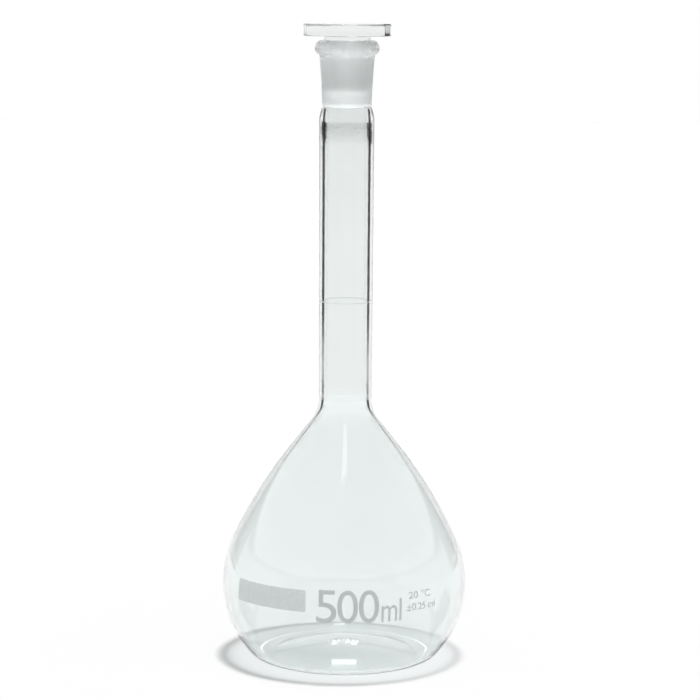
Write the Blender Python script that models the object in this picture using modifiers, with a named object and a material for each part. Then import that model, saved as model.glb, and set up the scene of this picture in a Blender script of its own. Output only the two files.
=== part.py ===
"""Volumetric flask for 500 ml, with a ground joint and a flat-headed octagonal glass stopper.

Units are metres and +Z is up. The origin is the middle of the foot, on the surface that the flask stands on,
and the enamel marks face -Y. A turned piece is an outline in the (radius, height) half plane, which runs up its
inside and down its outside. The stopper hangs from an empty on its own axis, along which it lifts out.
"""
import math

import bmesh
import bpy
import numpy as np

COLLECTION_NAME = "volumetric_flask"
SEGMENTS = 48               # sides of a turned piece
MERGE_DISTANCE = 0.00001
GAP = 0.0003                # clearance between pieces that touch

CAPACITY = 500e-6           # cubic metres that the flask holds up to its ring mark

# Bulb. Its outside is a chain of tangent arcs: heel, belly, shoulder, a straight cone and the neck's fillet.
# Each arc ends where its outward normal has the angle given, in degrees above the horizontal.
FOOT_OUTER_RADIUS = 0.03409
FOOT_INNER_RADIUS = 0.0300
PUNT_HEIGHT = 0.0042        # rise of the pushed-up base at its middle
HEEL_RADIUS = 0.00865
HEEL_END_ANGLE = -39.8
BELLY_RADIUS = 0.04456
BELLY_END_ANGLE = 24.9
SHOULDER_RADIUS = 0.1937
SHOULDER_END_ANGLE = 38.35
CONE_LENGTH = 0.01418
NECK_FILLET_RADIUS = 0.01526

# Glass thickness at the foot and above the heel, and the even bore of the neck
FOOT_WALL = 0.0022
BULB_WALL = 0.001325
BULB_WALL_HEIGHTS = (0.020, 0.100)   # heights between which the bulb has its even wall
NECK_BORE_RADIUS = 0.0090

# Neck tube, which ends in a thick rounded shoulder where the socket is fused on
NECK_TOP_RADIUS = 0.01136
NECK_TOP_HEIGHT = 0.2312
SHOULDER_HEIGHT = 0.0064    # height over which the neck draws in to the socket
SHOULDER_END_TURN = 45      # angle of the shoulder's arc at its top
NECK_BORE_END_HEIGHT = 0.2240   # height from which the bore narrows to the joint

# Ground joint 19/26: the bore widens by 1 in 10 to its large end at the mouth
JOINT_LARGE_RADIUS = 0.0094
JOINT_TAPER = 0.1
JOINT_MOUTH_HEIGHT = 0.2576
SOCKET_FOOT_RADIUS = 0.0101
SOCKET_MIDDLE_RADIUS = 0.01062
SOCKET_MIDDLE_HEIGHT = 0.2425
BEAD_CENTRE_RADIUS = 0.01015
BEAD_CENTRE_HEIGHT = 0.2555
BEAD_HALF_WIDTH = 0.00325
BEAD_HALF_HEIGHT = 0.0031
BEAD_END_ANGLE = -68        # where the bead's round runs into the socket's wall

# Stopper
PLUG_FOOT_HEIGHT = 0.2380
PLUG_FOOT_ROUND = 0.0008
SHANK_RADIUS = 0.0096
SHANK_START_HEIGHT = 0.2594
HEAD_BOTTOM_HEIGHT = 0.2603
HEAD_THICKNESS = 0.0050
HEAD_CORNER_RADIUS = 0.0191
HEAD_EDGE_ROUND = 0.0013
HEAD_TURN = 8.5             # degrees that the seated head is turned from square

# Enamel marks, placed by their angle round the bulb from -Y towards +X
MARK_THICKNESS = 0.00015
MARK_CLEARANCE = 0.0002
MARK_STRIP = 0.0040         # widest flat strip of a mark that follows the bulb's curve
RING_MARK_HEIGHT = 0.0004
DIGIT_BASE_HEIGHT = 0.0258
DIGIT_HEIGHT = 0.0135
DIGIT_WIDTH = 0.0084
DIGIT_ANGLES = (-8.0, 1.8, 11.6)
UNIT_HEIGHT = 0.0095
UNIT_M_WIDTH = 0.0068
UNIT_L_WIDTH = 0.0010
UNIT_M_ANGLE = 21.3
UNIT_L_ANGLE = 26.9
PATCH_ROUND = 0.0008


def make_material(name, colour, roughness, transmission):
    """Principled material for one kind of glass or enamel."""
    material = bpy.data.materials.new(name)
    material.use_nodes = True
    shader = material.node_tree.nodes["Principled BSDF"]
    shader.inputs["Base Color"].default_value = (*colour, 1.0)
    shader.inputs["Roughness"].default_value = roughness
    shader.inputs["Metallic"].default_value = 0.0
    shader.inputs["Transmission Weight"].default_value = transmission
    shader.inputs["IOR"].default_value = 1.473
    material.diffuse_color = (*colour, 1.0)
    return material


def add_object(name, mesh, material, collection, parent=None):
    """Link a new object with one material to the part's collection."""
    mesh.materials.append(material)
    part = bpy.data.objects.new(name, mesh)
    collection.objects.link(part)
    if parent:
        part.parent = parent
        part.matrix_parent_inverse = parent.matrix_world.inverted()
    return part


def arc(centre, radii, start_angle, end_angle, steps):
    """Points on an ellipse with the given (horizontal, vertical) radii, angles in degrees above +radius."""
    angles = np.radians(np.linspace(start_angle, end_angle, steps + 1))
    return [(centre[0] + radii[0] * math.cos(a), centre[1] + radii[1] * math.sin(a)) for a in angles]


def follow_arc(start, bend_radius, start_angle, end_angle, steps):
    """Points of an arc that leaves a start point with the outward normal at start_angle.

    A negative bend radius makes the arc hollow, with its centre outside the glass.
    """
    normal = math.radians(start_angle)
    centre = (start[0] - bend_radius * math.cos(normal), start[1] - bend_radius * math.sin(normal))
    return arc(centre, (bend_radius, bend_radius), start_angle, end_angle, steps)


def bulb_outside():
    """Outside of the bulb from the foot ring up to the neck, as (radius, height, normal angle) samples."""
    heel = follow_arc((FOOT_OUTER_RADIUS, 0.0), HEEL_RADIUS, -90, HEEL_END_ANGLE, 6)
    belly = follow_arc(heel[-1], BELLY_RADIUS, HEEL_END_ANGLE, BELLY_END_ANGLE, 10)
    shoulder = follow_arc(belly[-1], SHOULDER_RADIUS, BELLY_END_ANGLE, SHOULDER_END_ANGLE, 4)
    slope = math.radians(SHOULDER_END_ANGLE)
    cone_top = (
        shoulder[-1][0] - CONE_LENGTH * math.sin(slope),
        shoulder[-1][1] + CONE_LENGTH * math.cos(slope),
    )
    fillet = follow_arc(cone_top, -NECK_FILLET_RADIUS, SHOULDER_END_ANGLE, 0, 6)
    points = heel + belly[1:] + shoulder[1:] + fillet
    angles = np.concatenate([
        np.linspace(-90, HEEL_END_ANGLE, len(heel)),
        np.linspace(HEEL_END_ANGLE, BELLY_END_ANGLE, len(belly))[1:],
        np.linspace(BELLY_END_ANGLE, SHOULDER_END_ANGLE, len(shoulder))[1:],
        np.linspace(SHOULDER_END_ANGLE, 0, len(fillet)),
    ])
    return [(radius, height, angle) for (radius, height), angle in zip(points, angles)]


def wall_at(height):
    """Thickness of the bulb's glass at a height of its outside."""
    stations = (0.0, *BULB_WALL_HEIGHTS, BULB_TOP_HEIGHT)
    top_wall = NECK_FOOT_RADIUS - NECK_BORE_RADIUS
    return float(np.interp(height, stations, (FOOT_WALL, BULB_WALL, BULB_WALL, top_wall)))


def inset(sample):
    """The inside point that lies one wall thickness behind a sample of the outside."""
    radius, height, angle = sample
    wall = wall_at(height)
    normal = math.radians(angle)
    return (radius - wall * math.cos(normal), height - wall * math.sin(normal))


def punt(rim_radius, base_height, steps):
    """Domed middle of the base, from the axis out to its rim."""
    sphere_radius = (rim_radius ** 2 + PUNT_HEIGHT ** 2) / (2 * PUNT_HEIGHT)
    centre = (0.0, base_height + PUNT_HEIGHT - sphere_radius)
    rim_angle = math.degrees(math.acos(rim_radius / sphere_radius))
    dome = arc(centre, (sphere_radius, sphere_radius), 90, rim_angle, steps)
    return [(0.0, base_height + PUNT_HEIGHT)] + dome[1:]


BULB_OUTSIDE = bulb_outside()
BULB_TOP_HEIGHT = BULB_OUTSIDE[-1][1]
NECK_FOOT_RADIUS = BULB_OUTSIDE[-1][0]


def bulb_radius(height):
    """Outer radius of the bulb at a height."""
    radii, heights, _ = zip(*BULB_OUTSIDE)
    return float(np.interp(height, heights, radii))


def bulb_inside():
    """Inside of the bulb from the middle of its floor up to the neck."""
    return punt(FOOT_INNER_RADIUS, FOOT_WALL, 6) + [inset(sample) for sample in BULB_OUTSIDE]


def bulb_outline():
    """Closed glass section of the bulb."""
    outside = [(radius, height) for radius, height, _ in reversed(BULB_OUTSIDE)]
    base = list(reversed(punt(FOOT_INNER_RADIUS, 0.0, 6)))
    return bulb_inside() + outside + base


def neck_radius(height):
    """Outer radius of the slightly tapered neck."""
    heights = (BULB_TOP_HEIGHT, NECK_TOP_HEIGHT)
    return float(np.interp(height, heights, (NECK_FOOT_RADIUS, NECK_TOP_RADIUS)))


def joint_radius(height):
    """Radius of the joint's ground cone."""
    return JOINT_LARGE_RADIUS - JOINT_TAPER / 2 * (JOINT_MOUTH_HEIGHT - height)


def neck_outline():
    """Closed glass section of the neck tube, with the rounded shoulder under the socket."""
    foot = BULB_TOP_HEIGHT + GAP
    narrow_radius = joint_radius(NECK_TOP_HEIGHT)
    bore_round = (NECK_BORE_RADIUS - narrow_radius, NECK_TOP_HEIGHT - NECK_BORE_END_HEIGHT)
    bore = [(NECK_BORE_RADIUS, foot)]
    bore += arc((narrow_radius, NECK_BORE_END_HEIGHT), bore_round, 0, 90, 5)
    turn_in = math.radians(SHOULDER_END_TURN)
    widths = (
        (NECK_TOP_RADIUS - SOCKET_FOOT_RADIUS) / (1 - math.cos(turn_in)),
        SHOULDER_HEIGHT / math.sin(turn_in),
    )
    centre = (NECK_TOP_RADIUS - widths[0], NECK_TOP_HEIGHT - SHOULDER_HEIGHT)
    shoulder = arc(centre, widths, SHOULDER_END_TURN, 0, 5)
    return bore + shoulder + [(neck_radius(foot), foot)]


def socket_outline():
    """Closed glass section of the ground socket, with its beaded mouth."""
    foot = NECK_TOP_HEIGHT + GAP
    lip_round = BEAD_CENTRE_RADIUS - JOINT_LARGE_RADIUS
    lip_height = BEAD_CENTRE_HEIGHT + BEAD_HALF_HEIGHT - JOINT_MOUTH_HEIGHT
    bore = [(joint_radius(foot), foot)]
    lip = arc((BEAD_CENTRE_RADIUS, JOINT_MOUTH_HEIGHT), (lip_round, lip_height), 180, 90, 3)
    centre = (BEAD_CENTRE_RADIUS, BEAD_CENTRE_HEIGHT)
    bead = arc(centre, (BEAD_HALF_WIDTH, BEAD_HALF_HEIGHT), 90, BEAD_END_ANGLE, 9)
    wall = [(SOCKET_MIDDLE_RADIUS, SOCKET_MIDDLE_HEIGHT), (SOCKET_FOOT_RADIUS, foot)]
    return bore + lip + bead[1:] + wall


def plug_outline():
    """Solid section of the stopper's ground plug and shank, from its foot on the axis to its top."""
    round_height = PLUG_FOOT_HEIGHT + PLUG_FOOT_ROUND
    foot_radius = joint_radius(round_height) - GAP - PLUG_FOOT_ROUND
    foot = arc((foot_radius, round_height), (PLUG_FOOT_ROUND, PLUG_FOOT_ROUND), 0, -90, 3)
    top = HEAD_BOTTOM_HEIGHT - GAP
    shank = [
        (0.0, top),
        (SHANK_RADIUS, top),
        (SHANK_RADIUS, SHANK_START_HEIGHT),
        (joint_radius(JOINT_MOUTH_HEIGHT) - GAP, JOINT_MOUTH_HEIGHT),
    ]
    return shank + foot + [(0.0, PLUG_FOOT_HEIGHT)]


def ring_outline(height):
    """Closed section of the ring mark round the neck."""
    inner = neck_radius(height) + MARK_CLEARANCE
    outer = inner + MARK_THICKNESS
    low = height - RING_MARK_HEIGHT / 2
    high = height + RING_MARK_HEIGHT / 2
    return [(inner, low), (inner, high), (outer, high), (outer, low)]


def ring_mark_height():
    """Height at which the inside of the bulb and neck holds the flask's capacity."""
    inside = bulb_inside()
    volume = 0.0
    for (low_radius, low), (high_radius, high) in zip(inside, inside[1:]):
        square = (low_radius ** 2 + low_radius * high_radius + high_radius ** 2) / 3
        volume += math.pi * square * (high - low)
    return BULB_TOP_HEIGHT + (CAPACITY - volume) / (math.pi * NECK_BORE_RADIUS ** 2)


def turn(name, outline, material, collection, parent=None):
    """Turn an outline about the Z axis with a Screw modifier."""
    closed = outline[0][0] > 0.0
    count = len(outline)
    edges = [(i, (i + 1) % count) for i in range(count if closed else count - 1)]
    mesh = bpy.data.meshes.new(name)
    mesh.from_pydata([(radius, 0.0, height) for radius, height in outline], edges, [])
    part = add_object(name, mesh, material, collection, parent)
    screw = part.modifiers.new("turn", "SCREW")
    screw.axis = "Z"
    screw.steps = SEGMENTS
    screw.render_steps = SEGMENTS
    screw.use_merge_vertices = True
    screw.merge_threshold = MERGE_DISTANCE
    screw.use_smooth_shade = True
    return part


def add_head(material, collection, parent):
    """Flat octagonal head of the stopper, with rounded pressed edges."""
    middle = HEAD_BOTTOM_HEIGHT + HEAD_THICKNESS / 2
    bpy.ops.mesh.primitive_cylinder_add(
        vertices=8,
        radius=HEAD_CORNER_RADIUS,
        depth=HEAD_THICKNESS,
        location=(0.0, 0.0, middle),
        rotation=(0.0, 0.0, math.radians(22.5 + HEAD_TURN)),
    )
    head = bpy.context.object
    head.name = "stopper_head"
    head.data.materials.append(material)
    for owner in list(head.users_collection):
        owner.objects.unlink(head)
    collection.objects.link(head)
    bevel = head.modifiers.new("edge_round", "BEVEL")
    bevel.width = HEAD_EDGE_ROUND
    bevel.segments = 3
    bevel.limit_method = "ANGLE"
    head.data.shade_smooth()
    head.data.set_sharp_from_angle(angle=math.radians(40))
    head.parent = parent
    head.matrix_parent_inverse = parent.matrix_world.inverted()
    return head


def glyph_mesh(name, text, width, height):
    """Flat solid mesh of one character, scaled to a width and height, with its foot at the origin."""
    curve = bpy.data.curves.new(name, "FONT")
    curve.body = text
    curve.extrude = 0.5
    curve.resolution_u = 3
    source = bpy.data.objects.new(name + "_outline", curve)
    bpy.context.scene.collection.objects.link(source)
    shape = source.evaluated_get(bpy.context.evaluated_depsgraph_get())
    mesh = bpy.data.meshes.new_from_object(shape)
    bpy.data.objects.remove(source)
    corners = np.array([vertex.co for vertex in mesh.vertices])
    low = corners.min(axis=0)
    span = corners.max(axis=0) - low
    for vertex in mesh.vertices:
        x, y, z = (np.array(vertex.co) - low) / span
        vertex.co = ((x - 0.5) * width, y * height, z * MARK_THICKNESS)
    return mesh


def patch_mesh(name, width, height):
    """Flat solid rectangle with round corners, with its foot at the origin."""
    shape = bmesh.new()
    bmesh.ops.create_cube(shape, size=1.0)
    for vertex in shape.verts:
        x, y, z = vertex.co
        vertex.co = (x * width, (y + 0.5) * height, (z + 0.5) * MARK_THICKNESS)
    upright = [edge for edge in shape.edges if abs(edge.verts[0].co.z - edge.verts[1].co.z) > MARK_THICKNESS / 2]
    bmesh.ops.bevel(shape, geom=upright, offset=PATCH_ROUND, segments=3, profile=0.5, affect="EDGES")
    mesh = bpy.data.meshes.new(name)
    shape.to_mesh(mesh)
    shape.free()
    return mesh


def cut_into_strips(shape, axis):
    """Cut a flat mark into equal strips across one axis, 0 for x and 1 for y."""
    places = [vertex.co[axis] for vertex in shape.verts]
    count = max(1, math.ceil((max(places) - min(places)) / MARK_STRIP))
    for place in np.linspace(min(places), max(places), count + 1)[1:-1]:
        point = [0.0, 0.0, 0.0]
        point[axis] = place
        normal = [0.0, 0.0, 0.0]
        normal[axis] = 1.0
        geometry = shape.verts[:] + shape.edges[:] + shape.faces[:]
        bmesh.ops.bisect_plane(shape, geom=geometry, dist=MERGE_DISTANCE / 10, plane_co=point, plane_no=normal)


def wrap_on_bulb(mesh, angle, foot_height):
    """Lay a flat mark round the bulb, just clear of the glass."""
    shape = bmesh.new()
    shape.from_mesh(mesh)
    bmesh.ops.remove_doubles(shape, verts=shape.verts, dist=MERGE_DISTANCE)
    cut_into_strips(shape, 0)
    cut_into_strips(shape, 1)
    widest = max(radius for radius, _, _ in BULB_OUTSIDE)
    for vertex in shape.verts:
        x, y, out = vertex.co
        height = foot_height + y
        radius = bulb_radius(height) + MARK_CLEARANCE + out
        turned = math.radians(angle) + x / widest
        vertex.co = (radius * math.sin(turned), -radius * math.cos(turned), height)
    shape.to_mesh(mesh)
    shape.free()
    return mesh


def add_marks(enamel, collection):
    """Enamel marks on the printed side of the bulb."""
    names = ("digit_5", "digit_0_left", "digit_0_right")
    for name, text, angle in zip(names, "500", DIGIT_ANGLES):
        mesh = glyph_mesh(name, text, DIGIT_WIDTH, DIGIT_HEIGHT)
        add_object(name, wrap_on_bulb(mesh, angle, DIGIT_BASE_HEIGHT), enamel, collection)
    unit_m = glyph_mesh("unit_m", "m", UNIT_M_WIDTH, UNIT_HEIGHT * 0.72)
    add_object("unit_m", wrap_on_bulb(unit_m, UNIT_M_ANGLE, DIGIT_BASE_HEIGHT), enamel, collection)
    unit_l = glyph_mesh("unit_l", "l", UNIT_L_WIDTH, UNIT_HEIGHT)
    add_object("unit_l", wrap_on_bulb(unit_l, UNIT_L_ANGLE, DIGIT_BASE_HEIGHT), enamel, collection)
    patches = (
        ("writing_patch", 0.0360, 0.0090, -37.8, 0.0298),
        ("temperature_mark", 0.0100, 0.0026, 37.5, 0.0345),
        ("tolerance_mark", 0.0130, 0.0026, 38.5, 0.0295),
    )
    for name, width, height, angle, foot_height in patches:
        add_object(name, wrap_on_bulb(patch_mesh(name, width, height), angle, foot_height), enamel, collection)


def build():
    """Build the whole flask with its stopper seated."""
    for old in list(bpy.data.objects):
        bpy.data.objects.remove(old)
    collection = bpy.data.collections.new(COLLECTION_NAME)
    bpy.context.scene.collection.children.link(collection)
    glass = make_material("borosilicate_glass", (0.93, 0.95, 0.94), 0.02, 1.0)
    ground_glass = make_material("ground_glass", (0.90, 0.91, 0.91), 0.45, 0.9)
    pressed_glass = make_material("pressed_glass", (0.86, 0.93, 0.90), 0.05, 1.0)
    enamel = make_material("white_enamel", (0.80, 0.82, 0.82), 0.5, 0.0)

    turn("bulb", bulb_outline(), glass, collection)
    turn("neck_tube", neck_outline(), glass, collection)
    turn("ground_socket", socket_outline(), ground_glass, collection)
    turn("graduation_ring", ring_outline(ring_mark_height()), enamel, collection)
    add_marks(enamel, collection)

    stopper_axis = bpy.data.objects.new("stopper_axis", None)
    stopper_axis.location = (0.0, 0.0, PLUG_FOOT_HEIGHT)
    collection.objects.link(stopper_axis)
    bpy.context.view_layer.update()
    turn("stopper_plug", plug_outline(), ground_glass, collection, stopper_axis)
    add_head(pressed_glass, collection, stopper_axis)


build()
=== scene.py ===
"""Looks of the 500 ml volumetric flask: one continuous glass flask, its pressed stopper and its enamel marks.

Metres, +Z up, origin in the middle of the foot. The enamel marks face -Y.
"""
import math

import bmesh
import bpy
import numpy as np
from mathutils import Euler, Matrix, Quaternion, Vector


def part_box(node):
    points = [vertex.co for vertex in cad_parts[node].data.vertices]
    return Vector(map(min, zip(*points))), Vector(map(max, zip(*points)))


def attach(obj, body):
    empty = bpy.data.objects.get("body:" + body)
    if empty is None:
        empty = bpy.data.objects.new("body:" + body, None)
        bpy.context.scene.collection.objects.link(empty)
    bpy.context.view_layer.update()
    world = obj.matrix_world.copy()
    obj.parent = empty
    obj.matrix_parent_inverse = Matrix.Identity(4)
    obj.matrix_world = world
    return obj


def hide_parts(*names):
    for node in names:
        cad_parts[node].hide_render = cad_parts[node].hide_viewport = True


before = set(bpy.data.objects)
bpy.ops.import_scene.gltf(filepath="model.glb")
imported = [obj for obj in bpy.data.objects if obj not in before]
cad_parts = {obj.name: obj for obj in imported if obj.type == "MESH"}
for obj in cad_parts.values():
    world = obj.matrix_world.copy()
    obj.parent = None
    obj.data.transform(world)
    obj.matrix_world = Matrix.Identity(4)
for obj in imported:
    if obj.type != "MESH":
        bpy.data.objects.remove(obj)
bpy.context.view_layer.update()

# ---------------------------------------------------------------- driving dimensions
# The outline is the CAD part's. The lower walls and the top of the bore are this script's own.
FOOT_OUTER_RADIUS = 0.03409
FOOT_INNER_RADIUS = 0.0300
PUNT_HEIGHT = 0.0042
HEEL_RADIUS = 0.00865
HEEL_END_ANGLE = -39.8
BELLY_RADIUS = 0.04456
BELLY_END_ANGLE = 24.9
SHOULDER_RADIUS = 0.1937
SHOULDER_END_ANGLE = 38.35
CONE_LENGTH = 0.01418
NECK_FILLET_RADIUS = 0.01526
FOOT_WALL = 0.0014
LOWER_WALL = 0.0012
LOWER_WALL_HEIGHT = 0.010
BULB_WALL = 0.001325
BULB_WALL_HEIGHTS = (0.035, 0.100)      # between these the bulb has its even wall
NECK_BORE_RADIUS = 0.0090
NECK_TOP_RADIUS = 0.01136
SHOULDER_HEIGHT = 0.0064
SHOULDER_END_TURN = 45
NECK_BORE_END_HEIGHT = 0.2275
JOINT_LARGE_RADIUS = 0.0094
JOINT_TAPER = 0.1
SOCKET_FOOT_RADIUS = 0.0101
SOCKET_MIDDLE_RADIUS = 0.01062
SOCKET_MIDDLE_HEIGHT = 0.2425
BEAD_CENTRE_RADIUS = 0.01015
BEAD_CENTRE_HEIGHT = 0.2555
BEAD_HALF_WIDTH = 0.00325
BEAD_HALF_HEIGHT = 0.0031
BEAD_END_ANGLE = -68
JOINT_MOUTH_HEIGHT = 0.2576

SOCKET_BLUR_END = 0.2525    # height up to which the outside of the socket is slightly dull
SEGMENTS = 192              # columns of a turned glass mesh
COLUMN_ANGLES = np.linspace(0, 2 * math.pi, SEGMENTS, endpoint=False)
BULB_SLOT, NECK_SLOT, GROUND_SLOT, SOCKET_SLOT = range(4)


def box(node):
    """Lowest and highest corner of a CAD node as numpy arrays."""
    low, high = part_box(node)
    return np.array(low), np.array(high)


NECK_TOP_HEIGHT = box("neck_tube")[1][2]
RING_HEIGHT = sum(z[2] for z in box("graduation_ring")) / 2


# ---------------------------------------------------------------- outlines in the (radius, height) half plane
def arc(centre, radii, start_angle, end_angle, steps):
    """Points on an ellipse with the given (horizontal, vertical) radii, angles in degrees above +radius."""
    angles = np.radians(np.linspace(start_angle, end_angle, steps + 1))
    return [(centre[0] + radii[0] * math.cos(a), centre[1] + radii[1] * math.sin(a)) for a in angles]


def follow_arc(start, bend_radius, start_angle, end_angle, steps):
    """Arc that leaves a point with its outward normal at start_angle. A negative radius makes it hollow."""
    normal = math.radians(start_angle)
    centre = (start[0] - bend_radius * math.cos(normal), start[1] - bend_radius * math.sin(normal))
    return arc(centre, (bend_radius, bend_radius), start_angle, end_angle, steps)


def line(start, end, steps):
    """Evenly spaced points from start to end."""
    return [tuple(np.array(start) + (np.array(end) - np.array(start)) * i / steps) for i in range(steps + 1)]


def bulb_outside():
    """Outside of the bulb from the foot ring to the neck, as (radius, height, normal angle) samples."""
    heel = follow_arc((FOOT_OUTER_RADIUS, 0.0), HEEL_RADIUS, -90, HEEL_END_ANGLE, 16)
    belly = follow_arc(heel[-1], BELLY_RADIUS, HEEL_END_ANGLE, BELLY_END_ANGLE, 40)
    shoulder = follow_arc(belly[-1], SHOULDER_RADIUS, BELLY_END_ANGLE, SHOULDER_END_ANGLE, 24)
    slope = math.radians(SHOULDER_END_ANGLE)
    cone_top = (
        shoulder[-1][0] - CONE_LENGTH * math.sin(slope),
        shoulder[-1][1] + CONE_LENGTH * math.cos(slope),
    )
    cone = line(shoulder[-1], cone_top, 6)
    fillet = follow_arc(cone_top, -NECK_FILLET_RADIUS, SHOULDER_END_ANGLE, 0, 20)
    points = heel + belly[1:] + shoulder[1:] + cone[1:-1] + fillet
    angles = np.concatenate([
        np.linspace(-90, HEEL_END_ANGLE, len(heel)),
        np.linspace(HEEL_END_ANGLE, BELLY_END_ANGLE, len(belly))[1:],
        np.linspace(BELLY_END_ANGLE, SHOULDER_END_ANGLE, len(shoulder))[1:],
        np.full(len(cone) - 2, SHOULDER_END_ANGLE),
        np.linspace(SHOULDER_END_ANGLE, 0, len(fillet)),
    ])
    return [(radius, height, angle) for (radius, height), angle in zip(points, angles)]


BULB_OUTSIDE = bulb_outside()
BULB_TOP_HEIGHT = BULB_OUTSIDE[-1][1]
NECK_FOOT_RADIUS = BULB_OUTSIDE[-1][0]


def bulb_radius(height):
    """Outer radius of the bulb at a height."""
    radii, heights, _ = zip(*BULB_OUTSIDE)
    return np.interp(height, heights, radii)


def inset(sample):
    """The inside point one wall thickness behind a sample of the outside."""
    radius, height, angle = sample
    stations = (0.0, LOWER_WALL_HEIGHT, *BULB_WALL_HEIGHTS, BULB_TOP_HEIGHT)
    top_wall = NECK_FOOT_RADIUS - NECK_BORE_RADIUS
    wall = float(np.interp(height, stations, (FOOT_WALL, LOWER_WALL, BULB_WALL, BULB_WALL, top_wall)))
    normal = math.radians(angle)
    return (radius - wall * math.cos(normal), height - wall * math.sin(normal))


def punt(rim_radius, base_height, steps):
    """Domed middle of the base, from just beside the axis out to its rim."""
    sphere_radius = (rim_radius ** 2 + PUNT_HEIGHT ** 2) / (2 * PUNT_HEIGHT)
    centre = (0.0, base_height + PUNT_HEIGHT - sphere_radius)
    rim_angle = math.degrees(math.acos(rim_radius / sphere_radius))
    return arc(centre, (sphere_radius, sphere_radius), 90, rim_angle, steps)[1:]


def neck_radius(height):
    """Outer radius of the slightly tapered neck."""
    return float(np.interp(height, (BULB_TOP_HEIGHT, NECK_TOP_HEIGHT), (NECK_FOOT_RADIUS, NECK_TOP_RADIUS)))


def joint_radius(height):
    """Radius of the joint's ground cone."""
    return JOINT_LARGE_RADIUS - JOINT_TAPER / 2 * (JOINT_MOUTH_HEIGHT - height)


def flask_inside():
    """Inside of the flask from its floor's middle to the mouth, and where in it the ground cone starts."""
    points = punt(FOOT_INNER_RADIUS, FOOT_WALL, 24) + [inset(sample) for sample in BULB_OUTSIDE]
    points += line(points[-1], (NECK_BORE_RADIUS, NECK_BORE_END_HEIGHT), 40)[1:]
    narrow_radius = joint_radius(NECK_TOP_HEIGHT)
    bore_round = (NECK_BORE_RADIUS - narrow_radius, NECK_TOP_HEIGHT - NECK_BORE_END_HEIGHT)
    points += arc((narrow_radius, NECK_BORE_END_HEIGHT), bore_round, 0, 90, 16)[1:]
    ground_start = len(points) - 1
    points += line((narrow_radius, NECK_TOP_HEIGHT), (JOINT_LARGE_RADIUS, JOINT_MOUTH_HEIGHT), 12)[1:]
    return points, ground_start


def flask_outside():
    """Outside of the flask from its lip down to the foot and in under the base to its middle."""
    lip_round = BEAD_CENTRE_RADIUS - JOINT_LARGE_RADIUS
    lip_height = BEAD_CENTRE_HEIGHT + BEAD_HALF_HEIGHT - JOINT_MOUTH_HEIGHT
    points = arc((BEAD_CENTRE_RADIUS, JOINT_MOUTH_HEIGHT), (lip_round, lip_height), 180, 90, 8)[1:]
    centre = (BEAD_CENTRE_RADIUS, BEAD_CENTRE_HEIGHT)
    points += arc(centre, (BEAD_HALF_WIDTH, BEAD_HALF_HEIGHT), 90, BEAD_END_ANGLE, 32)[1:]
    points += line(points[-1], (SOCKET_MIDDLE_RADIUS, SOCKET_MIDDLE_HEIGHT), 8)[1:]
    points += line(points[-1], (SOCKET_FOOT_RADIUS, NECK_TOP_HEIGHT), 8)[1:]
    turn_in = math.radians(SHOULDER_END_TURN)
    widths = (
        (NECK_TOP_RADIUS - SOCKET_FOOT_RADIUS) / (1 - math.cos(turn_in)),
        SHOULDER_HEIGHT / math.sin(turn_in),
    )
    centre = (NECK_TOP_RADIUS - widths[0], NECK_TOP_HEIGHT - SHOULDER_HEIGHT)
    points += arc(centre, widths, SHOULDER_END_TURN, 0, 16)[1:]
    points += line(points[-1], (NECK_FOOT_RADIUS, BULB_TOP_HEIGHT), 40)[1:]
    points += [(radius, height) for radius, height, _ in reversed(BULB_OUTSIDE)][1:]
    return points + list(reversed(punt(FOOT_INNER_RADIUS, 0.0, 24)))


# ---------------------------------------------------------------- meshes
def face_outward(mesh):
    """Turns a closed mesh right side out."""
    work = bmesh.new()
    work.from_mesh(mesh)
    if work.calc_volume(signed=True) < 0:
        bmesh.ops.reverse_faces(work, faces=work.faces)
        work.to_mesh(mesh)
    work.free()


def skin(name, rings, tops, material_of_ring=None):
    """Closed smooth mesh through rings of points, each closed at its ends by a fan to one point."""
    count = len(rings[0])
    vertices = [point for ring in rings for point in ring] + list(tops)
    faces = []
    for low in range(len(rings) - 1):
        for i in range(count):
            j = (i + 1) % count
            a = low * count
            b = a + count
            faces.append((a + i, b + i, b + j, a + j))
    first, last = len(vertices) - 2, len(vertices) - 1
    end = (len(rings) - 1) * count
    faces += [(first, i, (i + 1) % count) for i in range(count)]
    faces += [(last, end + (i + 1) % count, end + i) for i in range(count)]
    mesh = bpy.data.meshes.new(name)
    mesh.from_pydata(vertices, [], faces)
    if material_of_ring:
        for polygon in mesh.polygons:
            polygon.material_index = material_of_ring(min(polygon.index // count, len(rings) - 1))
    mesh.shade_smooth()
    face_outward(mesh)
    piece = bpy.data.objects.new(name, mesh)
    bpy.context.scene.collection.objects.link(piece)
    return piece


def circle(radius, height):
    """Ring of points at one height; radius may be a number or one radius for each column."""
    radii = np.full(SEGMENTS, radius) if np.isscalar(radius) else radius
    return [(r * math.cos(a), r * math.sin(a), height) for r, a in zip(radii, COLUMN_ANGLES)]


def make_flask():
    """The whole flask as one closed mesh, with a material slot for each kind of surface."""
    inside, ground_start = flask_inside()
    points = inside + flask_outside()
    ground_end = len(inside) - 1
    rings = [circle(radius, height) for radius, height in points]
    tops = ((0, 0, FOOT_WALL + PUNT_HEIGHT), (0, 0, PUNT_HEIGHT))

    def material_of(row):
        """Material slot of the band of faces above a ring of points."""
        if ground_start <= row < ground_end:
            return GROUND_SLOT
        height = points[row][1]
        if row > ground_end and NECK_TOP_HEIGHT < height < SOCKET_BLUR_END:
            return SOCKET_SLOT
        return NECK_SLOT if height > BULB_TOP_HEIGHT else BULB_SLOT

    return skin("flask_glass", rings, tops, material_of)


flask = make_flask()


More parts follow.
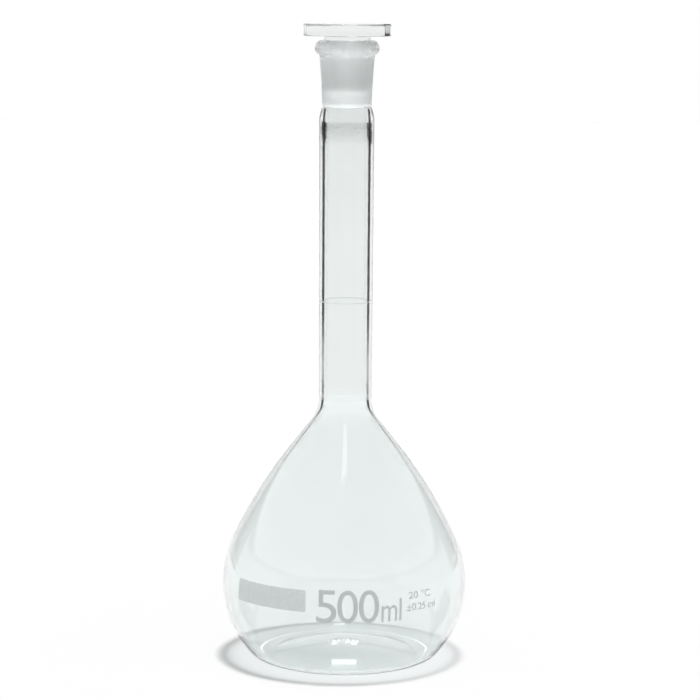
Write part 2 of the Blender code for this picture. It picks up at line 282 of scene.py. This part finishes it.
# ---------------------------------------------------------------- stopper
PLUG_CLEARANCE = 0.00005    # less than the CAD's gap, so that the ground surfaces look seated
PLUG_FOOT_HEIGHT = box("stopper_plug")[0][2]
PLUG_FOOT_ROUND = 0.0008
PLUG_FAN_RADIUS = 0.0005    # innermost ring of the plug's flat foot
SHANK_RADIUS = 0.0096
SHANK_START_HEIGHT = 0.2594
SHANK_FILLET = (0.0004, 0.0003)         # width and height of the small flare under the head
HEAD_BOTTOM_HEIGHT, HEAD_TOP_HEIGHT = (corner[2] for corner in box("stopper_head"))
HEAD_CORNER_RADIUS = 0.0191
HEAD_CORNER_ROUND = 0.0090  # rounder than the CAD's
HEAD_TURN = 8.5             # degrees that the octagon is turned about the axis
HEAD_SIDE_COUNT = 8
HEAD_TOP_ROUND = 0.0006
HEAD_BOTTOM_ROUND = 0.0005
HEAD_SHARP_ANGLE = 50       # degrees between faces from which an edge of the stopper looks sharp


def octagon(apothem, corner_round):
    """Radius of a round-cornered octagon for each column."""
    half = math.pi / HEAD_SIDE_COUNT
    from_middle = (COLUMN_ANGLES - math.radians(90 + HEAD_TURN) + half) % (2 * half) - half
    flat = np.arctan((apothem - corner_round) * math.tan(half) / apothem)
    corner_centre = (apothem - corner_round) / math.cos(half)
    from_corner = half - np.abs(from_middle)
    rounded = corner_centre * np.cos(from_corner) + np.sqrt(
        np.maximum(corner_round ** 2 - (corner_centre * np.sin(from_corner)) ** 2, 0))
    return np.where(np.abs(from_middle) <= flat, apothem / np.cos(from_middle), rounded)


def make_stopper():
    """Solid pressed stopper: ground plug, clear shank and octagonal head."""
    foot_height = PLUG_FOOT_HEIGHT + PLUG_FOOT_ROUND
    foot_radius = joint_radius(foot_height) - PLUG_CLEARANCE - PLUG_FOOT_ROUND
    foot = arc((foot_radius, foot_height), (PLUG_FOOT_ROUND, PLUG_FOOT_ROUND), -90, 0, 6)
    points = line((PLUG_FAN_RADIUS, PLUG_FOOT_HEIGHT), foot[0], 8)[:-1] + foot
    ground_start = len(points) - 1
    mouth = (joint_radius(JOINT_MOUTH_HEIGHT) - PLUG_CLEARANCE, JOINT_MOUTH_HEIGHT)
    points += line(foot[-1], mouth, 12)[1:]
    ground_end = len(points) - 1
    points += [(SHANK_RADIUS, SHANK_START_HEIGHT), (SHANK_RADIUS, HEAD_BOTTOM_HEIGHT - SHANK_FILLET[1])]
    rings = [circle(radius, height) for radius, height in points]
    apothem = HEAD_CORNER_RADIUS * math.cos(math.pi / HEAD_SIDE_COUNT)
    inner = apothem - HEAD_BOTTOM_ROUND
    fillet = SHANK_RADIUS + SHANK_FILLET[0]
    rings.append(circle(fillet, HEAD_BOTTOM_HEIGHT))
    for share in (0.25, 0.5, 0.75):
        blended = fillet + (octagon(inner, HEAD_CORNER_ROUND) - fillet) * share
        rings.append(circle(blended, HEAD_BOTTOM_HEIGHT))
    low = arc((inner, HEAD_BOTTOM_HEIGHT + HEAD_BOTTOM_ROUND), (HEAD_BOTTOM_ROUND,) * 2, -90, 0, 5)
    high_centre = (apothem - HEAD_TOP_ROUND, HEAD_TOP_HEIGHT - HEAD_TOP_ROUND)
    high = arc(high_centre, (HEAD_TOP_ROUND,) * 2, 0, 90, 7)
    rings += [circle(octagon(radius, HEAD_CORNER_ROUND), height) for radius, height in low + high]
    for share in (0.8, 0.6, 0.4, 0.2, 0.05):
        rings.append(circle(octagon(high_centre[0], HEAD_CORNER_ROUND) * share, HEAD_TOP_HEIGHT))
    tops = ((0, 0, PLUG_FOOT_HEIGHT), (0, 0, HEAD_TOP_HEIGHT))
    piece = skin("stopper_glass", rings, tops, lambda row: int(ground_start <= row < ground_end))
    piece.data.set_sharp_from_angle(angle=math.radians(HEAD_SHARP_ANGLE))
    return piece


stopper = make_stopper()


# ---------------------------------------------------------------- materials
def add_node(tree, kind, **values):
    """New node with its plain settings, and its inputs by socket name."""
    made = tree.nodes.new(kind)
    for key, value in values.items():
        if key in made.inputs:
            made.inputs[key].default_value = value
        else:
            setattr(made, key, value)
    return made


GLASS_IOR = 1.473
SHADOW_CLEAR = 0.985                # share of lamp light that a wall seen face on lets through
SHADOW_TINT = (-0.008, 0.0, 0.0)    # added to that share in red, green and blue
EDGE_POWER = 5.3                    # how sharply the loss grows towards the outline
EDGE_SPAN = (-0.04, 0.04)           # from the -X side to the +X side, in metres
BULB_EDGE_CLEAR = (0.0, 0.6)
THICK_EDGE_CLEAR = (0.95, 0.95)
TINT_PATCH = 0.03                   # size of the patches in the glass's tint
TINT_SPREAD = 0.015                 # and how far they stray from its colour
PONTIL_RADIUS = 0.008
PONTIL_DEPTH = 0.00009
PONTIL_WAVES = {"Scale": 160.0, "Distortion": 4.0}
WAVES = ((0.007, 0.00004),)         # uneven walls of blown glass
BULB_STRETCH = 4.0                  # the bulb's waves are drawn out sideways by this
GRIT = ((0.0006, 0.00006), (0.004, 0.00002))     # grains of a ground surface
# Painted shade in the glass's colour as (height, tone); the plain table has none.
PLAIN_TONES = ((0.0, 1.0), (1.0, 1.0))
NECK_PAINTED_SHADE = ((0.2165, 1.0), (0.2235, 0.945), (0.229, 0.945))      # painted shade, darker towards the thick shoulder
# Painted shade, darker above the plug's foot, where socket and plug both scatter the light, with a touch of
# painted light either side.
GROUND_PAINTED_SHADE = (
    (0.230, 1.02), (0.2372, 1.02), (0.2400, 0.83), (0.2440, 0.83), (0.2500, 0.89), (0.2530, 1.02),
)


def new_material(name):
    """Material with an empty node tree, its tree and its output node."""
    material = bpy.data.materials.new(name)
    material.use_nodes = True
    tree = material.node_tree
    tree.nodes.remove(tree.nodes["Principled BSDF"])
    return material, tree, tree.nodes["Material Output"]


def add_ramp(tree, stops):
    """Ramp node through grey levels given as (position, level)."""
    ramp = add_node(tree, "ShaderNodeValToRGB")
    elements = ramp.color_ramp.elements
    while len(elements) < len(stops):
        elements.new(0.5)
    for element, (position, level) in zip(elements, stops):
        element.position = position
        element.color = (level, level, level, 1)
    return ramp


def map_range(tree, value, from_range, to_range):
    """Output of a node that carries one range of a value over to another."""
    made = add_node(tree, "ShaderNodeMapRange")
    for name, number in zip(("From Min", "From Max", "To Min", "To Max"), (*from_range, *to_range)):
        made.inputs[name].default_value = number
    tree.links.new(value, made.inputs["Value"])
    return made.outputs[0]


def combine(tree, operation, first, second):
    """Output of a maths node on two values, each a socket or a plain number."""
    made = add_node(tree, "ShaderNodeMath", operation=operation)
    for value, target in zip((first, second), made.inputs):
        if isinstance(value, (int, float)):
            target.default_value = value
        else:
            tree.links.new(value, target)
    return made.outputs[0]


def noise_amount(tree, size, detail=2.0):
    """Output from 0 to 1 of noise in patches of a size in metres, fixed to the object."""
    noise = add_node(tree, "ShaderNodeTexNoise", Scale=1 / size, Detail=detail)
    tree.links.new(add_node(tree, "ShaderNodeTexCoord").outputs["Object"], noise.inputs["Vector"])
    return noise.outputs["Fac"]


def patchy_colour(tree, colour, spread, amount):
    """Output of a colour that strays by up to a share of itself, darkest at amount 0 and palest at 1."""
    tint = add_node(tree, "ShaderNodeMix", data_type="RGBA")
    tint.inputs[6].default_value = (*(tone * (1 - spread) for tone in colour), 1)
    tint.inputs[7].default_value = (*(min(1.0, tone * (1 + spread)) for tone in colour), 1)
    tree.links.new(amount, tint.inputs[0])
    return tint.outputs[2]


def painted_shade_by_height(tree, painted_tones):
    """Output of a grey painted shade that follows the height on the object, given as (height, tone)."""
    bottom, top = painted_tones[0][0], painted_tones[-1][0]
    axes = add_node(tree, "ShaderNodeSeparateXYZ")
    tree.links.new(add_node(tree, "ShaderNodeTexCoord").outputs["Object"], axes.inputs[0])
    level = map_range(tree, axes.outputs["Z"], (bottom, top), (0.0, 1.0))
    ramp = add_ramp(tree, [((height - bottom) / (top - bottom), tone) for height, tone in painted_tones])
    tree.links.new(level, ramp.inputs[0])
    return ramp.outputs[0]


def bumps(tree, layers, stretch=1.0):
    """Normal bent by noise in layers, each (height of its features, depth), in metres, drawn out sideways."""
    drawn = add_node(tree, "ShaderNodeVectorMath", operation="MULTIPLY")
    tree.links.new(add_node(tree, "ShaderNodeTexCoord").outputs["Object"], drawn.inputs[0])
    drawn.inputs[1].default_value = (1 / stretch, 1 / stretch, 1.0)
    place = drawn.outputs[0]
    normal = None
    for size, depth in layers:
        noise = add_node(tree, "ShaderNodeTexNoise", Scale=1 / size, Detail=2.0)
        bump = add_node(tree, "ShaderNodeBump", Strength=1.0, Distance=depth)
        tree.links.new(place, noise.inputs["Vector"])
        tree.links.new(noise.outputs["Fac"], bump.inputs["Height"])
        if normal:
            tree.links.new(normal, bump.inputs["Normal"])
        normal = bump.outputs["Normal"]
    return normal


def pontil_swirl(tree, normal):
    """Normal with the faint swirl that the glassblower's rod leaves in the middle of the base."""
    place = add_node(tree, "ShaderNodeTexCoord").outputs["Object"]
    rings = add_node(tree, "ShaderNodeTexWave", wave_type="RINGS", rings_direction="Z", **PONTIL_WAVES)
    away = add_node(tree, "ShaderNodeVectorMath", operation="LENGTH")
    bump = add_node(tree, "ShaderNodeBump", Strength=1.0, Distance=PONTIL_DEPTH)
    tree.links.new(place, rings.inputs["Vector"])
    tree.links.new(place, away.inputs[0])
    fade = map_range(tree, away.outputs["Value"], (PONTIL_RADIUS / 3, PONTIL_RADIUS), (1.0, 0.0))
    tree.links.new(combine(tree, "MULTIPLY", rings.outputs["Fac"], fade), bump.inputs["Height"])
    tree.links.new(normal, bump.inputs["Normal"])
    return bump.outputs["Normal"]


def lamp_light_through(tree, edge_clear):
    """Shader that lets lamp light through to the paper, but less of it where the surface is seen edge on.

    Edge_clear is what the edge lets through on the -X side and on the +X side.
    """
    place = add_node(tree, "ShaderNodeTexCoord")
    axes = add_node(tree, "ShaderNodeSeparateXYZ")
    tree.links.new(place.outputs["Object"], axes.inputs[0])
    edge_share = map_range(tree, axes.outputs["X"], EDGE_SPAN, edge_clear)
    facing = add_node(tree, "ShaderNodeLayerWeight", Blend=0.5).outputs["Facing"]
    outline = combine(tree, "POWER", facing, EDGE_POWER)
    loss = combine(tree, "MULTIPLY", outline, combine(tree, "SUBTRACT", 1.0, edge_share))
    tone = combine(tree, "SUBTRACT", SHADOW_CLEAR, loss)
    colour = add_node(tree, "ShaderNodeCombineColor")
    for channel, lift in zip(("Red", "Green", "Blue"), SHADOW_TINT):
        tree.links.new(combine(tree, "ADD", tone, lift), colour.inputs[channel])
    through = add_node(tree, "ShaderNodeBsdfTransparent")
    tree.links.new(colour.outputs[0], through.inputs["Color"])
    return through.outputs[0]


def glass_material(name, colour, roughness, edge_clear, layers, painted_tones=PLAIN_TONES, stretch=1.0, pontil=False):
    """Glass with slightly uneven surfaces. Its edges draw its shadow, and painted shade in its colour changes
    with height.
    """
    material, tree, output = new_material(name)
    values = {"Roughness": roughness, "IOR": GLASS_IOR, "Transmission Weight": 1.0}
    shader = add_node(tree, "ShaderNodeBsdfPrincipled", **values)
    # the glass's tint is multiplied by painted shade that follows the height
    shade = add_node(tree, "ShaderNodeMix", data_type="RGBA", blend_type="MULTIPLY")
    shade.inputs[0].default_value = 1.0
    tree.links.new(patchy_colour(tree, colour, TINT_SPREAD, noise_amount(tree, TINT_PATCH)), shade.inputs[6])
    tree.links.new(painted_shade_by_height(tree, painted_tones), shade.inputs[7])
    tree.links.new(shade.outputs[2], shader.inputs["Base Color"])
    normal = bumps(tree, layers, stretch)
    if pontil:
        normal = pontil_swirl(tree, normal)
    tree.links.new(normal, shader.inputs["Normal"])
    path = add_node(tree, "ShaderNodeLightPath")
    mix = add_node(tree, "ShaderNodeMixShader")
    onto_paper = combine(tree, "MAXIMUM", path.outputs["Is Shadow Ray"], path.outputs["Is Diffuse Ray"])
    tree.links.new(onto_paper, mix.inputs[0])
    tree.links.new(shader.outputs[0], mix.inputs[1])
    tree.links.new(lamp_light_through(tree, edge_clear), mix.inputs[2])
    tree.links.new(mix.outputs[0], output.inputs["Surface"])
    return material


bulb_glass = glass_material(
    "bulb_glass", (0.92, 0.95, 0.945), 0.0, BULB_EDGE_CLEAR, WAVES, stretch=BULB_STRETCH, pontil=True)
neck_glass = glass_material("neck_glass", (0.893, 0.913, 0.91), 0.0, THICK_EDGE_CLEAR, WAVES, NECK_PAINTED_SHADE)
ground_glass = glass_material(
    "ground_glass", (0.832, 0.837, 0.837), 0.85, THICK_EDGE_CLEAR, GRIT, GROUND_PAINTED_SHADE)
socket_glass = glass_material("socket_glass", (0.90, 0.925, 0.92), 0.3, THICK_EDGE_CLEAR, GRIT)
for material in (bulb_glass, neck_glass, ground_glass, socket_glass):     # in the order of the slots
    flask.data.materials.append(material)
for material in (neck_glass, ground_glass):
    stopper.data.materials.append(material)

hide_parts("bulb", "neck_tube", "ground_socket")
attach(flask, "flask")
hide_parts("stopper_plug", "stopper_head")
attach(stopper, "stopper")

# ---------------------------------------------------------------- enamel
ENAMEL_THICKNESS = 0.00004
ENAMEL_LIFT = 0.00002       # keeps the print's back clear of the glass
ENAMEL_CELL = 0.0008        # longest edge of a printed mark, so that it follows the bulb
ENAMEL_IOR = 1.5
ENAMEL_SPOT = 0.0012        # size of the thin and thick spots
ENAMEL_SPREAD = 0.10        # and how far they stray from the print's colour
ENAMEL_ROUGHNESS = (0.35, 0.6)
ENAMEL_GRAIN = ((0.0004, 0.00001),)
GRADUATION_WIDTH = 0.00022
PATCH_SIZE = (0.0360, 0.0090)
PATCH_CORNER = 0.0008
LARGE_WEIGHT, SMALL_WEIGHT = 0.0, 0.008     # how much the letters' strokes are thickened
# Piece, the CAD node it replaces, text, width and height.
LARGE_TEXT = (
    ("print_5", "digit_5", "5", 0.0084, 0.0135),
    ("print_0_left", "digit_0_left", "0", 0.0084, 0.0135),
    ("print_0_right", "digit_0_right", "0", 0.0084, 0.0135),
    ("print_m", "unit_m", "m", 0.0068, 0.0068),
    ("print_l", "unit_l", "l", 0.0010, 0.0095),
)
SMALL_TEXT = (
    ("print_temperature", "temperature_mark", "20 \u00b0C", 0.0112, 0.0030),
    ("print_tolerance", "tolerance_mark", "\u00b10.25 ml", 0.0146, 0.0030),
)
WIDEST_RADIUS = max(radius for radius, _, _ in BULB_OUTSIDE)


def enamel_material(name, colour):
    """Printed white enamel, a little thinner and rougher in some spots than in others."""
    material, tree, output = new_material(name)
    shader = add_node(tree, "ShaderNodeBsdfPrincipled", IOR=ENAMEL_IOR)
    spots = noise_amount(tree, ENAMEL_SPOT, 3.0)
    tree.links.new(patchy_colour(tree, colour, ENAMEL_SPREAD, spots), shader.inputs["Base Color"])
    tree.links.new(map_range(tree, spots, (0.3, 0.7), ENAMEL_ROUGHNESS), shader.inputs["Roughness"])
    tree.links.new(bumps(tree, ENAMEL_GRAIN), shader.inputs["Normal"])
    tree.links.new(shader.outputs[0], output.inputs["Surface"])
    return material


enamel = enamel_material("white_enamel", (0.57, 0.61, 0.61))
patch_enamel = enamel_material("patch_enamel", (0.72, 0.76, 0.76))


def text_shape(text, width, height, weight):
    """Solid mesh of a line of text, scaled to a width and height and centred on the origin."""
    curve = bpy.data.curves.new("lettering", "FONT")
    curve.body = text
    curve.extrude = 0.5
    curve.resolution_u = 8
    curve.offset = weight
    source = bpy.data.objects.new("lettering", curve)
    bpy.context.scene.collection.objects.link(source)
    mesh = bpy.data.meshes.new_from_object(source.evaluated_get(bpy.context.evaluated_depsgraph_get()))
    bpy.data.objects.remove(source)
    bpy.data.curves.remove(curve)
    shape = bmesh.new()
    shape.from_mesh(mesh)
    bpy.data.meshes.remove(mesh)
    corners = np.array([vertex.co for vertex in shape.verts])
    middle = (corners.min(axis=0) + corners.max(axis=0)) / 2
    span = np.ptp(corners, axis=0)
    for vertex in shape.verts:
        vertex.co = (np.array(vertex.co) - middle) / span * (width, height, 1.0)
    return shape


def patch_shape(width, height):
    """Solid rectangle with round corners, centred on the origin."""
    shape = bmesh.new()
    bmesh.ops.create_cube(shape, size=1.0)
    for vertex in shape.verts:
        vertex.co = (vertex.co.x * width, vertex.co.y * height, vertex.co.z)
    upright = [edge for edge in shape.edges if abs(edge.verts[0].co.z - edge.verts[1].co.z) > 0.5]
    bmesh.ops.bevel(shape, geom=upright, offset=PATCH_CORNER, segments=6, profile=0.5, affect="EDGES")
    return shape


def slice_finely(shape):
    """Cuts a flat shape into cells small enough to bend."""
    corners = np.array([vertex.co for vertex in shape.verts])
    for axis in (0, 1):
        low, high = corners[:, axis].min(), corners[:, axis].max()
        count = max(1, math.ceil((high - low) / ENAMEL_CELL))
        for place in np.linspace(low, high, count + 1)[1:-1]:
            normal = np.eye(3)[axis]
            geometry = shape.verts[:] + shape.edges[:] + shape.faces[:]
            bmesh.ops.bisect_plane(
                shape, geom=geometry, dist=1e-7, plane_co=tuple(normal * place), plane_no=tuple(normal))


def print_on_bulb(name, node, shape, material):
    """Wraps a flat shape on the bulb over the middle of a CAD mark, which it takes the place of."""
    slice_finely(shape)
    low, high = box(node)
    middle = (low + high) / 2
    angle = math.atan2(middle[0], -middle[1])
    for vertex in shape.verts:
        x, y, out = vertex.co
        height = middle[2] + y
        radius = bulb_radius(height) + ENAMEL_LIFT + (out + 0.5) * ENAMEL_THICKNESS
        turned = angle + x / WIDEST_RADIUS
        vertex.co = (radius * math.sin(turned), -radius * math.cos(turned), height)
    mesh = bpy.data.meshes.new(name)
    shape.to_mesh(mesh)
    shape.free()
    finish_print(name, node, mesh, material)


def finish_print(name, node, mesh, material):
    """Puts a printed mesh in the scene in place of its CAD node."""
    face_outward(mesh)
    mesh.materials.append(material)
    piece = bpy.data.objects.new(name, mesh)
    bpy.context.scene.collection.objects.link(piece)
    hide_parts(node)
    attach(piece, "flask")


for texts, weight in ((LARGE_TEXT, LARGE_WEIGHT), (SMALL_TEXT, SMALL_WEIGHT)):
    for name, node, text, width, height in texts:
        print_on_bulb(name, node, text_shape(text, width, height, weight), enamel)
print_on_bulb("print_patch", "writing_patch", patch_shape(*PATCH_SIZE), patch_enamel)


def make_graduation():
    """Fine closed band round the neck."""
    inner = neck_radius(RING_HEIGHT) + ENAMEL_LIFT
    outer = inner + ENAMEL_THICKNESS
    low, high = RING_HEIGHT - GRADUATION_WIDTH / 2, RING_HEIGHT + GRADUATION_WIDTH / 2
    rings = [circle(*corner) for corner in ((inner, low), (outer, low), (outer, high), (inner, high))]
    count = len(rings[0])
    faces = []
    for row in range(len(rings)):
        a = row * count
        b = (row + 1) % len(rings) * count
        for i in range(count):
            j = (i + 1) % count
            faces.append((a + i, a + j, b + j, b + i))
    mesh = bpy.data.meshes.new("print_graduation")
    mesh.from_pydata([point for ring in rings for point in ring], [], faces)
    finish_print("print_graduation", "graduation_ring", mesh, patch_enamel)


make_graduation()

# ---------------------------------------------------------------- stage, lights and camera
LIGHT_BOUNCES = 24
scene = bpy.context.scene
scene.view_settings.view_transform = "Standard"
scene.cycles.use_denoising = True
scene.cycles.caustics_refractive = False
scene.cycles.caustics_reflective = False
scene.cycles.max_bounces = LIGHT_BOUNCES
scene.cycles.transmission_bounces = LIGHT_BOUNCES
scene.cycles.transparent_max_bounces = LIGHT_BOUNCES

FLOOR_RADIUS = 4.0
FLOOR_SIDES = 128
FLOOR_DROP = 0.0001         # keeps the paper just clear of the foot
PAPER_TONE = 0.9
# Light that the paper is given back where the lamp falls off, by distance from the flask in metres.
PAPER_GLOW = (
    (0.06, 0.0), (0.12, 0.0), (0.32, 0.03), (0.66, 0.055), (1.2, 0.09), (2.2, 0.19), (4.0, 0.40),
)

# Two rings of dark cards round the flask: refracted edge cards draw the glass's dark lines, and sheen cards
# tone down what its outside reflects. Heights are in metres, and darkness is the share of light held back.
CARD_RADIUS = 0.60
CARD_TOP = 0.235
CARD_FADE_HEIGHT = 0.212    # from here the edge cards thin out towards their top
CARD_COLUMNS = 360
CARD_ROWS = 24
EDGE_QUARTERS = (1.0, 1.0, 0.3, 0.0)    # darkness of each corner's card, by quarter turn from +X
# Half the width of a corner's card in degrees, as (height, where it is still full, where it has ended).
EDGE_WIDTHS = (
    (0.0, 8, 10), (0.05, 10, 12), (0.135, 10, 11), (0.162, 10, 11),
    (0.178, 10, 12), (0.190, 24, 27), (0.200, 26, 29),
)
EDGE_LEVELS = ((0.017, 1.0), (0.026, 0.5), (0.045, 0.6), (0.065, 1.0))
EDGE_BAND = ((0.11, 0.0), (0.176, 0.01), (0.184, 0.08), (0.192, 0.31))      # the same all the way round
SHEEN_LEVELS = (
    (0.0, 0.30), (0.11, 0.42), (0.153, 0.50), (0.178, 0.62), (0.196, 0.72), (0.212, 0.72), (CARD_TOP, 0.0),
)

SOFTBOX_DISTANCE = 3.0
# Name, elevation from +Y (past 90 on the camera's side), width, depth, level, and whether glass refracts it.
SOFTBOXES = (
    ("rear_softbox_low", 17.5, 0.22, 0.34, 4.5, True),
    ("rear_softbox_high", 43, 0.34, 0.26, 4.0, True),
    ("front_strip", 113.5, 0.34, 0.60, 2.5, False),
)

WORLD_LOW = 8               # degrees of elevation up to which the backdrop is white
WORLD_HIGH = 46             # and from which it has its overhead tone
WORLD_ZENITH = 0.08

LAMP_PLACE = (0.28, 0.0, 6.0)
LAMP_SIZE = 0.75
LAMP_POWER = 300

CAMERA_PLACE = (0.0019, -1.0727, 0.2862)
CAMERA_PITCH = 8.283        # degrees below level
CAMERA_ROLL = 0.36
CAMERA_LENS = 133.53
CAMERA_SENSOR = 36


def new_object(name, vertices, faces):
    """Object with a mesh of its own, linked to the scene."""
    mesh = bpy.data.meshes.new(name)
    mesh.from_pydata(vertices, [], faces)
    made = bpy.data.objects.new(name, mesh)
    scene.collection.objects.link(made)
    return made


def make_floor():
    """White paper, which glows a little far away so that it stays as white as it is near the flask."""
    rim = [2 * math.pi * i / FLOOR_SIDES for i in range(FLOOR_SIDES)]
    floor = new_object(
        "studio_floor",
        [(FLOOR_RADIUS * math.cos(a), FLOOR_RADIUS * math.sin(a), -FLOOR_DROP) for a in rim],
        [tuple(range(FLOOR_SIDES))],
    )
    material, tree, output = new_material("white_paper")
    paper = add_node(tree, "ShaderNodeBsdfDiffuse", Color=(PAPER_TONE, PAPER_TONE, PAPER_TONE, 1))
    glow = add_node(tree, "ShaderNodeEmission")
    both = add_node(tree, "ShaderNodeAddShader")
    place = add_node(tree, "ShaderNodeTexCoord")
    away = add_node(tree, "ShaderNodeVectorMath", operation="LENGTH")
    ramp = add_ramp(tree, [(distance / FLOOR_RADIUS, level) for distance, level in PAPER_GLOW])
    tree.links.new(place.outputs["Object"], away.inputs[0])
    tree.links.new(combine(tree, "DIVIDE", away.outputs["Value"], FLOOR_RADIUS), ramp.inputs[0])
    tree.links.new(ramp.outputs[0], glow.inputs["Color"])
    tree.links.new(paper.outputs[0], both.inputs[0])
    tree.links.new(glow.outputs[0], both.inputs[1])
    tree.links.new(both.outputs[0], output.inputs["Surface"])
    floor.data.materials.append(material)


def at_height(height, stations, column=1):
    """Value between rows that each start with a height, read off one of their columns."""
    return float(np.interp(height, [row[0] for row in stations], [row[column] for row in stations]))


def card_darkness(azimuth, height):
    """Share of light that the card holds back: most in the corners, and a little all round high up."""
    from_corner = abs(azimuth % 90 - 45)
    edges = (at_height(height, EDGE_WIDTHS, 1), at_height(height, EDGE_WIDTHS, 2))
    strength = EDGE_QUARTERS[int(azimuth // 90) % 4] * at_height(height, EDGE_LEVELS)
    dark = strength * np.interp(from_corner, edges, (1.0, 0.0))
    fade = np.interp(height, (CARD_FADE_HEIGHT, CARD_TOP), (1.0, 0.0))
    return max(dark, at_height(height, EDGE_BAND)) * fade


def sheen_darkness(_azimuth, height):
    """How much of the light the ring holds back from the outer reflections, which tone down the outline."""
    return at_height(height, SHEEN_LEVELS)


def make_cards(name, darkness_at, refracted):
    """Ring of dark cards round the table, seen either through the glass or only in its outer reflections."""
    vertices, faces, darkness = [], [], []
    for row in range(CARD_ROWS + 1):
        height = CARD_TOP * row / CARD_ROWS
        for column in range(CARD_COLUMNS):
            azimuth = 360 * column / CARD_COLUMNS
            angle = math.radians(azimuth)
            vertices.append((CARD_RADIUS * math.cos(angle), CARD_RADIUS * math.sin(angle), height))
            darkness.append(darkness_at(azimuth, height))
    for row in range(CARD_ROWS):
        for column in range(CARD_COLUMNS):
            beside = (column + 1) % CARD_COLUMNS
            a, b = row * CARD_COLUMNS, (row + 1) * CARD_COLUMNS
            faces.append((a + column, a + beside, b + beside, b + column))
    cards = new_object(name, vertices, faces)
    cards.data.attributes.new("darkness", "FLOAT", "POINT").data.foreach_set("value", darkness)
    cards.visible_camera = False
    cards.visible_diffuse = False
    cards.visible_shadow = False
    cards.visible_glossy = not refracted
    cards.visible_transmission = refracted
    material, tree, output = new_material(name)
    dark = add_node(tree, "ShaderNodeAttribute", attribute_name="darkness")
    through = add_node(tree, "ShaderNodeBsdfTransparent")
    black = add_node(tree, "ShaderNodeEmission", Color=(0, 0, 0, 1))
    mix = add_node(tree, "ShaderNodeMixShader")
    tree.links.new(dark.outputs["Fac"], mix.inputs[0])
    tree.links.new(through.outputs[0], mix.inputs[1])
    tree.links.new(black.outputs[0], mix.inputs[2])
    tree.links.new(mix.outputs[0], output.inputs["Surface"])
    cards.data.materials.append(material)


def make_softbox(name, heading, width, depth, level, seen_through_glass):
    """Bright card that only the glass sees. Heading is its elevation from +Y, past 90 on the front's side."""
    angle = math.radians(heading)
    out = np.array((0, math.cos(angle), math.sin(angle)))
    across = np.array((1.0, 0, 0))
    lengthwise = np.cross(out, across)
    corners = [
        tuple(SOFTBOX_DISTANCE * out + x * width / 2 * across + y * depth / 2 * lengthwise)
        for x, y in ((-1, -1), (1, -1), (1, 1), (-1, 1))
    ]
    card = new_object(name, corners, [(0, 1, 2, 3)])
    card.visible_camera = False
    card.visible_diffuse = False
    card.visible_shadow = False
    card.visible_transmission = seen_through_glass
    material, tree, output = new_material(name)
    glow = add_node(tree, "ShaderNodeEmission", Color=(1, 1, 1, 1), Strength=level)
    tree.links.new(glow.outputs[0], output.inputs["Surface"])
    card.data.materials.append(material)


def make_world():
    """White round the horizon, darker overhead."""
    world = bpy.data.worlds.new("studio")
    scene.world = world
    world.use_nodes = True
    tree = world.node_tree
    axes = add_node(tree, "ShaderNodeSeparateXYZ")
    tree.links.new(add_node(tree, "ShaderNodeTexCoord").outputs["Generated"], axes.inputs[0])
    rises = [math.sin(math.radians(elevation)) for elevation in (WORLD_LOW, WORLD_HIGH)]
    tone = map_range(tree, axes.outputs["Z"], rises, (1.0, WORLD_ZENITH))
    tree.links.new(tone, tree.nodes["Background"].inputs["Color"])


def make_lamp():
    """Square softbox high overhead, slightly to one side and turned to the flask."""
    light = bpy.data.lights.new("overhead_softbox", "AREA")
    light.shape = "SQUARE"
    light.size = LAMP_SIZE
    light.energy = LAMP_POWER
    lamp = bpy.data.objects.new("overhead_softbox", light)
    lamp.location = LAMP_PLACE
    lamp.rotation_euler = (0, math.atan2(LAMP_PLACE[0], LAMP_PLACE[2]), 0)
    scene.collection.objects.link(lamp)


def make_camera():
    """Long lens in front of the flask, looking slightly down."""
    data = bpy.data.cameras.new("camera")
    data.sensor_width = CAMERA_SENSOR
    data.lens = CAMERA_LENS
    data.clip_start = 0.01
    camera = bpy.data.objects.new("camera", data)
    camera.location = CAMERA_PLACE
    camera.rotation_mode = "QUATERNION"
    level_view = Euler((math.radians(90 - CAMERA_PITCH), 0, 0)).to_quaternion()
    camera.rotation_quaternion = level_view @ Quaternion((0, 0, 1), math.radians(CAMERA_ROLL))
    scene.collection.objects.link(camera)
    return camera


make_floor()
make_cards("edge_cards", card_darkness, True)
make_cards("sheen_cards", sheen_darkness, False)
for softbox in SOFTBOXES:
    make_softbox(*softbox)
make_world()
make_lamp()
scene.camera = make_camera()
